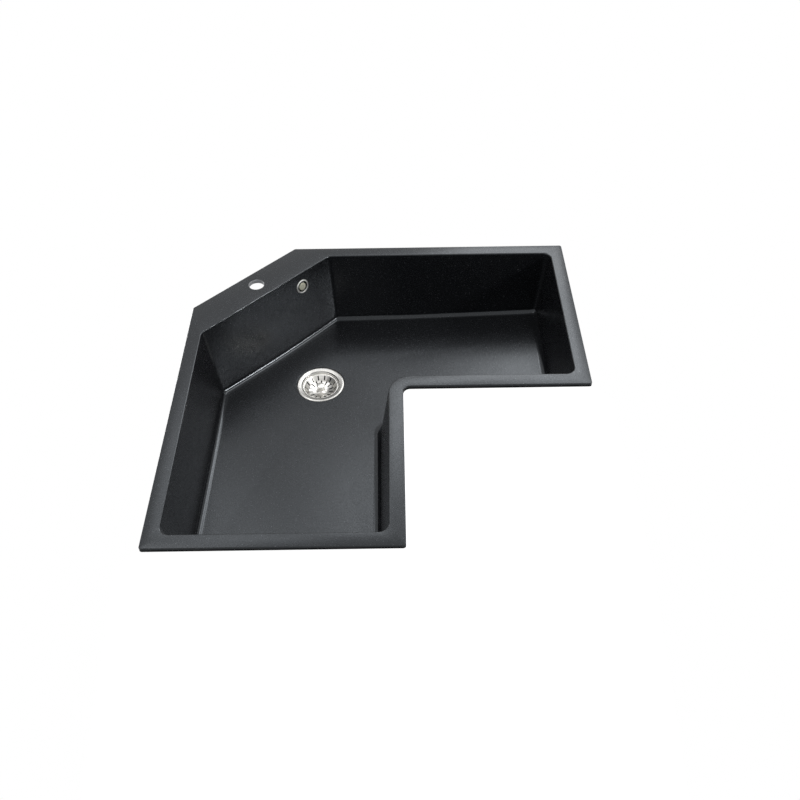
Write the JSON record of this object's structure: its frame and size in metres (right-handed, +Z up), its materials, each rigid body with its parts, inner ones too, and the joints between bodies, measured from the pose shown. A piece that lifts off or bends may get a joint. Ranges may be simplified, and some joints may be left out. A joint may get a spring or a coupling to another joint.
{
  "type": "corner kitchen sink",
  "caption": "L-shaped inset corner sink in dark granite composite, with a tap hole across the cut-off rear corner, a basket strainer waste, a round overflow and clamps below the rim.",
  "frame": {"origin": "on the underside of the rim, in the middle of the strip that lies on the worktop behind the tap deck, on the sink's line of symmetry", "axes": "+Z up, square to the worktop; +X along the right arm; +Y to the back; the line of symmetry runs from +X -Y to -X +Y"},
  "size_m": [0.86, 0.86, 0.2996],
  "materials": {
    "granite": "satin",
    "steel": "satin",
    "satin_steel": "satin",
    "rubber": "matte",
    "plastic": "satin",
    "zinc": "satin",
    "brass": "satin"
  },
  "bodies": {
    "sink": {"sink_bowl": "granite", "strainer_cup": "steel", "flange_gasket": "rubber", "lower_gasket": "rubber", "drain_body": "plastic", "cup_screw": "steel", "overflow_ring": "steel", "overflow_screw": "satin_steel", "overflow_gasket": "rubber", "overflow_elbow": "plastic", "overflow_hose": "plastic", "hose_nut_upper": "plastic", "hose_washer_upper": "rubber", "hose_nut_lower": "plastic", "hose_washer_lower": "rubber", "clamp_screw_1": "zinc", "clamp_screw_2": "zinc", "clamp_screw_3": "zinc", "clamp_screw_4": "zinc", "clamp_screw_5": "zinc", "clamp_screw_6": "zinc", "clamp_screw_7": "zinc", "clamp_screw_8": "zinc", "clamp_insert_1": "brass", "clamp_insert_2": "brass", "clamp_insert_3": "brass", "clamp_insert_4": "brass", "clamp_insert_5": "brass", "clamp_insert_6": "brass", "clamp_insert_7": "brass", "clamp_insert_8": "brass"},
    "basket": {"strainer_basket": "steel", "basket_knob": "steel", "basket_stem": "steel", "basket_stopper": "rubber", "stem_nut": "steel"},
    "clamp_1": {"clamp_arm_1": "zinc"},
    "clamp_2": {"clamp_arm_2": "zinc"},
    "clamp_3": {"clamp_arm_3": "zinc"},
    "clamp_4": {"clamp_arm_4": "zinc"},
    "clamp_5": {"clamp_arm_5": "zinc"},
    "clamp_6": {"clamp_arm_6": "zinc"},
    "clamp_7": {"clamp_arm_7": "zinc"},
    "clamp_8": {"clamp_arm_8": "zinc"}
  },
  "joints": [
    {"name": "basket_lift", "type": "slide", "parent": "sink", "child": "basket", "axis": [0, 0, 1], "range_m": [0, 0.24]},
    {"name": "clamp_swing_1", "type": "hinge", "parent": "sink", "child": "clamp_1", "pos_m": [0.12234, -0.72884, -0.03155], "axis": [0, 0, -1], "range_deg": [0, 90]},
    {"name": "clamp_swing_2", "type": "hinge", "parent": "sink", "child": "clamp_2", "pos_m": [0.33884, -0.57184, -0.03155], "axis": [0, 0, -1], "range_deg": [0, 90]},
    {"name": "clamp_swing_3", "type": "hinge", "parent": "sink", "child": "clamp_3", "pos_m": [0.57184, -0.33884, -0.03155], "axis": [0, 0, -1], "range_deg": [0, 90]},
    {"name": "clamp_swing_4", "type": "hinge", "parent": "sink", "child": "clamp_4", "pos_m": [0.72884, -0.12234, -0.03155], "axis": [0, 0, -1], "range_deg": [0, 90]},
    {"name": "clamp_swing_5", "type": "hinge", "parent": "sink", "child": "clamp_5", "pos_m": [0.55354, 0.09416, -0.03155], "axis": [0, 0, -1], "range_deg": [0, 90]},
    {"name": "clamp_swing_6", "type": "hinge", "parent": "sink", "child": "clamp_6", "pos_m": [0.2693, 0.09416, -0.03155], "axis": [0, 0, -1], "range_deg": [0, 90]},
    {"name": "clamp_swing_7", "type": "hinge", "parent": "sink", "child": "clamp_7", "pos_m": [-0.09416, -0.25638, -0.03155], "axis": [0, 0, -1], "range_deg": [0, 90]},
    {"name": "clamp_swing_8", "type": "hinge", "parent": "sink", "child": "clamp_8", "pos_m": [-0.09416, -0.57938, -0.03155], "axis": [0, 0, -1], "range_deg": [0, 90]}
  ]
}
